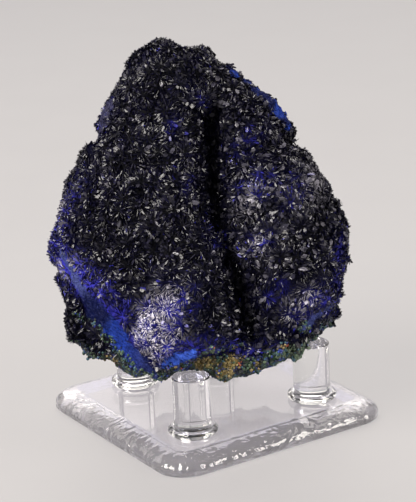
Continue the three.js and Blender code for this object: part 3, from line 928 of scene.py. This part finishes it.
def joined(name, shape, places, axes, sizes, values):
    """One mesh of many copies of a prototype. Axes hold each copy's three directions as columns, and
    values are numbers that each copy keeps as attributes."""
    corner, loops, starts = shape
    count, per_copy = len(places), len(corner)
    sized = corner[None] * sizes[:, None]
    verts = np.einsum("nij,nvj->nvi", axes, sized) + places[:, None]
    shifts = np.arange(count) * per_copy
    mesh = bpy.data.meshes.new(name)
    mesh.vertices.add(count * per_copy)
    mesh.vertices.foreach_set("co", verts.astype(np.float32).ravel())
    mesh.loops.add(count * len(loops))
    mesh.loops.foreach_set("vertex_index", (loops[None] + shifts[:, None]).astype(np.int32).ravel())
    mesh.polygons.add(count * len(starts))
    offsets = np.arange(count)[:, None] * len(loops)
    mesh.polygons.foreach_set("loop_start", (starts[None] + offsets).astype(np.int32).ravel())
    mesh.update(calc_edges=True)
    keep_attribute(mesh, "across", (sized[:, :, 0] + np.arange(count)[:, None] * 0.37 * MM).ravel())
    for key, value in values.items():
        keep_attribute(mesh, key, np.repeat(value, per_copy))
    return mesh


def crystal_axes(out, centre_way, lean, roll, rng, jitter=0.14):
    """Directions of crystals that lean away from their rosette's centre: across, through and along
    each one. A roll of 0 turns the broad face outwards, and a quarter turn the narrow edge."""
    away = unit(centre_way - (centre_way * out).sum(axis=1, keepdims=True) * out)
    long = unit(out * np.cos(lean)[:, None] + away * np.sin(lean)[:, None] + rng.normal(0, jitter, out.shape))
    side = unit(np.cross(long, out) + 1e-6)
    other = np.cross(long, side)
    across = side * np.cos(roll)[:, None] + other * np.sin(roll)[:, None]
    return np.stack((across, np.cross(long, across), long), axis=2)


def crystals(kind, shape, grown, material):
    """Pieces of crystals of a kind, in fans that spread from the rosettes' centres. Grown is where they
    grow, as a share for each vertex of the body."""
    spacing, spans, on_edge, pale, most = CRYSTALS[kind]
    sizes = bpy.context.scene.specimen_stone
    spacing = getattr(sizes, spacing)
    rng = np.random.default_rng(SEEDS[kind])
    mesh = bpy.data.objects["stone_body"].data
    candidates = int(6 * (0.16 / spacing) ** 2)
    corner, share, at, out = placed(mesh, grown, candidates, spacing, rng, CRYSTAL_ROOM, fading=True)
    count = len(at)
    centre, fan = np.unique(corners(mesh, "rosette", 3)[corner[:, 0]], axis=0, return_inverse=True)
    fan = fan.ravel()
    away = at - centre[fan]
    reach = np.linalg.norm(away, axis=1) / (0.6 * sizes.rosette)
    tilt = np.clip(FAN_LEAN + FAN_OPENING * reach + rng.normal(0, 0.16, count), *FAN_SPAN)
    base = np.where(rng.random(len(centre)) < on_edge, math.pi / 2, 0.0)
    roll = base[fan] + rng.normal(0, 0.28, count)
    spread = rng.normal(0, 0.25, (len(centre), 3))
    axes = crystal_axes(out, unit(away) + spread[fan], tilt, roll, rng, 0.09)
    sizes = np.stack([rng.uniform(*span, count) for span in spans], axis=1) * MM
    glow, painted_sheen = (shared(corners(mesh, key), corner, share) for key in ("glow", "painted_sheen"))
    lit = rng.random(count) < 0.55 * glow + 0.004
    # The painted sheen is a pale colour that stands in for light the faces catch: strong in the sheen patches
    # and, on the palest kinds, a little everywhere
    values = {
        "tone": rng.random(count),
        "glow": np.where(lit, 0.1 + 0.85 * rng.random(count) ** 1.7, 0.08 * glow),
        "painted_sheen": np.clip(painted_sheen * 3.2 * (rng.random(count) - 0.36) + pale * rng.random(count), 0, 1.0),
    }
    parts = np.array_split(np.argsort(-at[:, 2]), math.ceil(count / most))
    for i, part in enumerate(parts):
        name = f"azurite_{kind}_{i + 1}"
        chosen = {key: value[part] for key, value in values.items()}
        made = joined(name, shape, at[part], axes[part], sizes[part], chosen)
        finished(made, name, material, ("specimen",))


def crumbs(name, grown, spacing, material):
    """A piece of rough grains. Grown is where they lie, as a share for each vertex of the body."""
    span, usual = GRAINS[name]
    rng = np.random.default_rng(SEEDS[name])
    mesh = bpy.data.objects["stone_body"].data
    corner, share, at, out = placed(mesh, grown, GRAIN_CANDIDATES, spacing, rng, CRUMB_ROOM)
    count = len(at)
    lean, roll = rng.uniform(0, 1.5, count), rng.uniform(0, 3, count)
    axes = crystal_axes(out, rng.normal(0, 1, out.shape), lean, roll, rng)
    sizes = rng.uniform(0.65, 1.2, (count, 3)) * rng.uniform(*span, (count, 1)) * MM
    tone = usual + 0.8 * rough_field(at, 2.4 * MM, 8) + rng.normal(0, 0.16, count)
    tone += 0.6 * shared(corners(mesh, "pale"), corner, share)
    values = {"tone": np.clip(tone, 0, 1)}
    for seed, key in enumerate(("rusty", "blue"), 9):
        patchy = 0.5 + 0.8 * rough_field(at, 2.0 * MM, seed) + rng.normal(0, 0.2, count)
        values[key] = np.maximum(patchy, 0.04) < shared(corners(mesh, key), corner, share)
    made = joined(name, crumb(rng), at, axes, sizes, values)
    finished(made, name, material, ("specimen",))


# Operators


class SPECIMEN_OT_stage(bpy.types.Operator):
    """Makes the pale floor, the soft lights and the camera"""

    bl_idname = "specimen.stage"
    bl_label = "Stage"

    def execute(self, context):
        scene = context.scene
        bm = bmesh.new()
        bmesh.ops.create_grid(bm, x_segments=1, y_segments=1, size=FLOOR_HALF)
        mesh = bpy.data.meshes.new("floor")
        bm.to_mesh(mesh)
        bm.free()
        mesh.materials.append(floor_material(scene.specimen_colours))
        floor = linked("floor", mesh)
        floor.location.z = -FLOOR_DROP
        for name, (place, wide, high, power) in SOFTBOXES.items():
            light = bpy.data.lights.new(name, "AREA")
            light.shape = "RECTANGLE"
            light.size, light.size_y, light.energy = wide, high, power
            light.color = LIGHTS_COLOUR
            lamp = linked(name, light)
            lamp.location = place
            lamp.rotation_euler = (Vector(LIGHTS_AIM) - Vector(place)).to_track_quat("-Z", "Y").to_euler()
        scene.world = bpy.data.worlds.new("studio_air")
        scene.world.use_nodes = True
        tree = scene.world.node_tree
        sky = add(tree, "TexCoord", output="Generated")
        height = add(tree, "SeparateXYZ", {0: sky}, "Z")
        shade = add(tree, "MapRange", {VALUE: height, **AIR_SPAN})
        background = tree.nodes["Background"].inputs
        background["Color"].default_value = AIR_COLOUR
        tree.links.new(shade, background["Strength"])
        scene.view_settings.view_transform = "Standard"
        camera = bpy.data.cameras.new("camera")
        camera.lens = CAMERA_LENS
        camera.clip_start = 0.01
        scene.camera = linked("camera", camera)
        ahead = Vector((CAMERA_SWING, math.cos(CAMERA_PITCH), -math.sin(CAMERA_PITCH))).normalized()
        right = ahead.cross(Vector((0, 0, 1))).normalized()
        up = right.cross(ahead)
        tilted = right * math.cos(CAMERA_ROLL) + up * math.sin(CAMERA_ROLL)
        upright = up * math.cos(CAMERA_ROLL) - right * math.sin(CAMERA_ROLL)
        turn = Matrix((tilted, upright, -ahead)).transposed().to_4x4()
        scene.camera.matrix_world = Matrix.Translation(CAMERA_PLACE) @ turn
        return {"FINISHED"}


class SPECIMEN_OT_plate(bpy.types.Operator):
    """Makes the clear plate with its polished round rim"""

    bl_idname = "specimen.plate"
    bl_label = "Plate"

    def execute(self, context):
        stand = context.scene.specimen_stand
        wall = stand.plate_thickness - stand.rim_drop
        bm = bmesh.new()
        bmesh.ops.create_cube(bm, size=1.0)
        bmesh.ops.scale(bm, verts=bm.verts, vec=(stand.plate_side, stand.plate_side, wall))
        bmesh.ops.translate(bm, verts=bm.verts, vec=(0, 0, wall / 2))
        bevel = {"profile": 0.5, "affect": "EDGES", "material": -1}
        upright = [e for e in bm.edges if abs(e.verts[0].co.z - e.verts[1].co.z) > wall / 2]
        bmesh.ops.bevel(bm, geom=upright, offset=stand.corner_radius, segments=16, **bevel)
        low = [e for e in bm.edges if all(v.co.z < wall / 2 for v in e.verts)]
        bmesh.ops.bevel(bm, geom=low, offset=0.35 * MM, segments=3, **bevel)
        bm.faces.ensure_lookup_table()
        top = [f for f in bm.faces if f.normal.z > 0.99]
        turns = [RIM_ARC * i / RIM_STEPS for i in range(RIM_STEPS + 1)]
        across = [stand.rim_width * (1 - math.cos(t)) / (1 - math.cos(RIM_ARC)) for t in turns]
        up = [stand.rim_drop * math.sin(t) / math.sin(RIM_ARC) for t in turns]
        inset = {"faces": top, "use_even_offset": True, "use_boundary": True}
        for i in range(RIM_STEPS):
            inward, rise = across[i + 1] - across[i], up[i + 1] - up[i]
            bmesh.ops.inset_region(bm, thickness=inward, depth=rise, **inset)
        bmesh.ops.rotate(bm, verts=bm.verts, matrix=stand_turn(stand).to_3x3())
        mesh = mesh_of(bm, "base_plate")
        material = plate_material(context.scene.specimen_colours)
        finished(mesh, "clear_plate", material, ("base_plate",))
        heights = places_and_normals(mesh)[0][:, 2]
        rim = step(stand.plate_thickness - heights, 0.05 * MM, 1.2 * MM) * step(heights, 0.0, 0.3 * MM)
        keep_attribute(mesh, "rim", rim)
        mesh.polygons.foreach_set("use_smooth", [len(p.vertices) < 8 for p in mesh.polygons])
        return {"FINISHED"}


class SPECIMEN_OT_pegs(bpy.types.Operator):
    """Makes the clear pegs and the round collars at their feet"""

    bl_idname = "specimen.pegs"
    bl_label = "Pegs and collars"

    def execute(self, context):
        stand = context.scene.specimen_stand
        rod = rod_material(context.scene.specimen_colours)
        radius, bevel = stand.peg_radius, stand.peg_edge
        height = stand.peg_top - stand.plate_thickness
        seat, chamfer, margin = 0.02 * MM, 0.1 * MM, 0.06 * MM
        edge = [
            (radius - bevel * (1 - math.cos(t)), height - bevel * (1 - math.sin(t)))
            for t in (math.pi * i / 8 for i in range(5))
        ]
        peg_profile = [
            (0.0, seat),
            (radius - chamfer - margin, seat),
            (radius - chamfer, seat),
            (radius, seat + chamfer),
            (radius, seat + chamfer + margin),
            (radius, edge[0][1] - margin),
            *edge,
            (edge[-1][0] - margin, height),
            (0.0, height),
        ]
        inner = radius + stand.collar_gap
        deep, half = stand.collar_radius - inner, stand.collar_height / 2
        turns = [math.pi * i / COLLAR_STEPS for i in range(COLLAR_STEPS + 1)]
        collar_profile = [(inner + deep * math.sin(t), seat + half - half * math.cos(t)) for t in turns]
        for peg in PEGS:
            for kind, profile, closed in (("peg", peg_profile, False), ("collar", collar_profile, True)):
                mesh = mesh_of(spun(profile, peg_place(stand, peg), closed), kind)
                finished(mesh, f"clear_{kind}_{peg}", rod, (f"{kind}_{peg}",))
                mesh.polygons.foreach_set("use_smooth", [abs(p.normal.z) < 0.999 for p in mesh.polygons])
        return {"FINISHED"}


class SPECIMEN_OT_stone(bpy.types.Operator):
    """Makes the stone's body from the frame's solid, with its rosettes, ledge, matrix and broken back"""

    bl_idname = "specimen.stone"
    bl_label = "Stone"

    def execute(self, context):
        stand, sizes = context.scene.specimen_stand, context.scene.specimen_stone
        bm = bmesh.new()
        bm.from_mesh(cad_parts["specimen"].data)
        bmesh.ops.remove_doubles(bm, verts=bm.verts, dist=MERGE)
        rough = linked("rough_stone", mesh_of(bm, "rough_stone"))
        remesh = rough.modifiers.new("remesh", "REMESH")
        remesh.mode, remesh.voxel_size = "VOXEL", sizes.voxel
        smooth = rough.modifiers.new("smooth", "SMOOTH")
        smooth.factor, smooth.iterations = 0.5, 4
        graph = context.evaluated_depsgraph_get()
        mesh = bpy.data.meshes.new_from_object(rough.evaluated_get(graph))
        bpy.data.objects.remove(rough)
        largest_part(mesh)
        places, normals = places_and_normals(mesh)
        zone = zones(places, normals)

        # Centres of the rosettes, and a low dome over each
        rng = np.random.default_rng(SEEDS["rosettes"])
        _, _, centres, _ = placed(mesh, zone["crust"] + 0.02, ROSETTE_CANDIDATES, sizes.rosette, rng)
        tree = kdtree.KDTree(len(centres))
        for i, centre in enumerate(centres):
            tree.insert(centre, i)
        tree.balance()
        found = [tree.find(p) for p in places]
        nearest = np.array([f[1] for f in found])
        apart = np.array([f[2] for f in found])
        high = rng.uniform(0.4, 1.5, len(centres))[nearest] * sizes.dome
        dome = high * np.sqrt(np.clip(1 - (apart / (0.62 * sizes.rosette)) ** 2, 0, 1))

        # How far each kind of surface stands out or in
        bulges = rough_field(places, 5 * MM, 3)
        chips = rough_field(places, 1.8 * MM, 4)
        ridges = 1 - 2 * np.abs(rough_field(places, 9 * MM, 5))
        move = zone["crust"] * (dome - sizes.crust + 0.3 * MM * chips)
        move += zone["back"] * (2.2 * MM * (ridges - 0.6) + 1.2 * MM * bulges + 0.8 * MM * chips)
        move += zone["matrix"] * (0.8 * MM * bulges + 0.6 * MM * chips - 0.2 * MM) * (1 - zone["back"])
        move += zone["wall"] * (0.35 * MM * bulges + 0.25 * MM * chips)

        # The nudges of the outline and the cleft. What lies near a peg's end isn't moved.
        local = to_stone(places)
        shift = np.zeros((len(places), 3))
        for x, y, radius, right, up in NUDGES:
            close = step(radius - np.hypot(local[:, 0] - x, local[:, 1] - y), 0.0, radius)
            shift[:, :2] += close[:, None] * (right, up)
        shift *= step(local[:, 2], -14.0, -8.0)[:, None]
        x, y, sunk, wide = line_points(CLEFT, 6)
        apart = np.hypot(local[:, :1] - x, local[:, 1:2] - y)
        shift[:, 2] -= (sunk * np.exp(-((apart / wide) ** 2))).max(axis=1) * step(local[:, 2], 0.0, 6.0)
        near_peg = np.zeros(len(places))
        for peg in PEGS:
            foot = peg_place(stand, peg)
            side = np.hypot(places[:, 0] - foot.x, places[:, 1] - foot.y)
            close = step(-side, -10 * MM, -8 * MM) * step(-places[:, 2], -34 * MM, -30 * MM)
            near_peg = np.maximum(near_peg, close)
        places += (normals * move[:, None] + shift @ STONE_AXES * MM) * (1 - near_peg)[:, None]

        # The edge over the front peg, lifted so that the peg's end shows
        foot = peg_place(stand, "front")
        side = np.hypot(places[:, 0] - foot.x, np.clip(places[:, 1] - foot.y, 0, None))
        ahead = np.clip(foot.y + 4.5 * MM - places[:, 1], 0, 14 * MM)
        ceiling = stand.peg_top + 0.35 * MM + SIGHT_SLOPE * ahead
        lift = np.clip(ceiling - places[:, 2], 0, None) * step(-side, -9.8 * MM, -7.6 * MM)
        places[:, 2] += lift
        mesh.vertices.foreach_set("co", places.astype(np.float32).ravel())
        mesh.update()
        for name, values in zone.items():
            keep_attribute(mesh, name, values)
        keep_attribute(mesh, "rosette", centres[nearest])
        material = ground_material(context.scene.specimen_colours)
        finished(mesh, "stone_body", material, ("specimen",), smooth=True)
        return {"FINISHED"}


class SPECIMEN_OT_crystals(bpy.types.Operator):
    """Grows the azurite crystals on the crust: blades, tablets, large plates, and needles where the sheen is
    painted
    """

    bl_idname = "specimen.crystals"
    bl_label = "Crystals"

    def execute(self, context):
        material = crystal_material(context.scene.specimen_colours)
        mesh = bpy.data.objects["stone_body"].data
        crust, sheen_patch, hidden, right, fine = (
            corners(mesh, name) for name in ("crust", "sheen_patch", "hidden", "right", "fine")
        )
        # Few blades and plates grow where the sheen is painted; needles grow there instead
        everywhere = crust * (1 - 0.9 * sheen_patch) * (1 - 0.45 * hidden)
        away_from_fine = everywhere * (1 - 0.8 * fine)
        on_lobes = (0.12 + 0.88 * right) * (1 - 0.5 * hidden)
        on_lobes = crust * (1 - sheen_patch) * on_lobes * (1 - 0.95 * fine)
        crystals("blades", lath(), everywhere, material)
        crystals("tablets", tablet(), away_from_fine, material)
        crystals("plates", hexagonal_plate(), on_lobes, material)
        crystals("needles", lath(), crust * sheen_patch, material)
        return {"FINISHED"}


class SPECIMEN_OT_fibres(bpy.types.Operator):
    """Lays the splinters of fibrous massive azurite along the ledge's wall and the edge strip"""

    bl_idname = "specimen.fibres"
    bl_label = "Azurite fibres"

    def execute(self, context):
        scene = context.scene
        rng = np.random.default_rng(SEEDS["fibres"])
        mesh = bpy.data.objects["stone_body"].data
        grown, spacing = step(corners(mesh, "wall"), 0.3, 0.8), scene.specimen_stone.fibre_spacing
        corner, share, at, out = placed(mesh, grown, FIBRE_CANDIDATES, spacing, rng)
        count = len(at)
        ledge = unit(np.array((*(LEDGE_END - LEDGE_START), 0.0)) @ STONE_AXES)
        way = ledge * rng.choice((-1, 1), (count, 1)) + rng.normal(0, 0.45, out.shape)
        axes = crystal_axes(out, way, rng.normal(1.5, 0.1, count), rng.normal(0, 0.6, count), rng, 0.05)
        sizes = np.stack([rng.uniform(*span, count) for span in FIBRE_SPANS], axis=1) * MM
        values = {"tone": rng.random(count), "along": shared(corners(mesh, "along"), corner, share)}
        made = joined("azurite_fibres", lath(), at, axes, sizes, values)
        material = fibre_material(scene.specimen_colours)
        finished(made, "azurite_fibres", material, ("specimen",))
        return {"FINISHED"}


class SPECIMEN_OT_grains(bpy.types.Operator):
    """Scatters malachite, azurite and limonite grains over the matrix and the broken back"""

    bl_idname = "specimen.grains"
    bl_label = "Matrix grains"

    def execute(self, context):
        sizes = context.scene.specimen_stone
        material = grain_material(context.scene.specimen_colours)
        mesh = bpy.data.objects["stone_body"].data
        matrix, back = corners(mesh, "matrix"), corners(mesh, "back")
        crumbs("matrix_grains", matrix**2 * (1 - back), sizes.grain_spacing, material)
        crumbs("back_crumbs", back**2, sizes.crumb_spacing, material)
        return {"FINISHED"}


class SPECIMEN_PT_panel(bpy.types.Panel):
    """Lists the pieces of the specimen and the stage"""

    bl_idname = "SPECIMEN_PT_panel"
    bl_label = "Azurite specimen"
    bl_space_type = "VIEW_3D"
    bl_region_type = "UI"
    bl_category = "Specimen"

    def draw(self, context):
        for operator in OPERATORS:
            self.layout.operator(operator.bl_idname)
        for key, group in GROUPS.items():
            column = self.layout.column(align=True)
            for name in group.__annotations__:
                column.prop(getattr(context.scene, key), name)


GROUPS = {"specimen_stand": StandSizes, "specimen_stone": StoneSizes, "specimen_colours": FinishColours}
OPERATORS = (
    SPECIMEN_OT_stage,
    SPECIMEN_OT_plate,
    SPECIMEN_OT_pegs,
    SPECIMEN_OT_stone,
    SPECIMEN_OT_crystals,
    SPECIMEN_OT_fibres,
    SPECIMEN_OT_grains,
)


def register():
    """Registers the property groups, the operators and the panel."""
    for name, group in GROUPS.items():
        bpy.utils.register_class(group)
        setattr(bpy.types.Scene, name, PointerProperty(type=group))
    for operator in OPERATORS:
        bpy.utils.register_class(operator)
    bpy.utils.register_class(SPECIMEN_PT_panel)


def unregister():
    """Takes the panel, the operators and the property groups away again."""
    bpy.utils.unregister_class(SPECIMEN_PT_panel)
    for operator in reversed(OPERATORS):
        bpy.utils.unregister_class(operator)
    for name, group in GROUPS.items():
        delattr(bpy.types.Scene, name)
        bpy.utils.unregister_class(group)


def main():
    """Builds every piece in order."""
    register()
    bpy.ops.specimen.stage()
    bpy.ops.specimen.plate()
    bpy.ops.specimen.pegs()
    bpy.ops.specimen.stone()
    bpy.ops.specimen.crystals()
    bpy.ops.specimen.fibres()
    bpy.ops.specimen.grains()


if __name__ == "__main__":
    main()
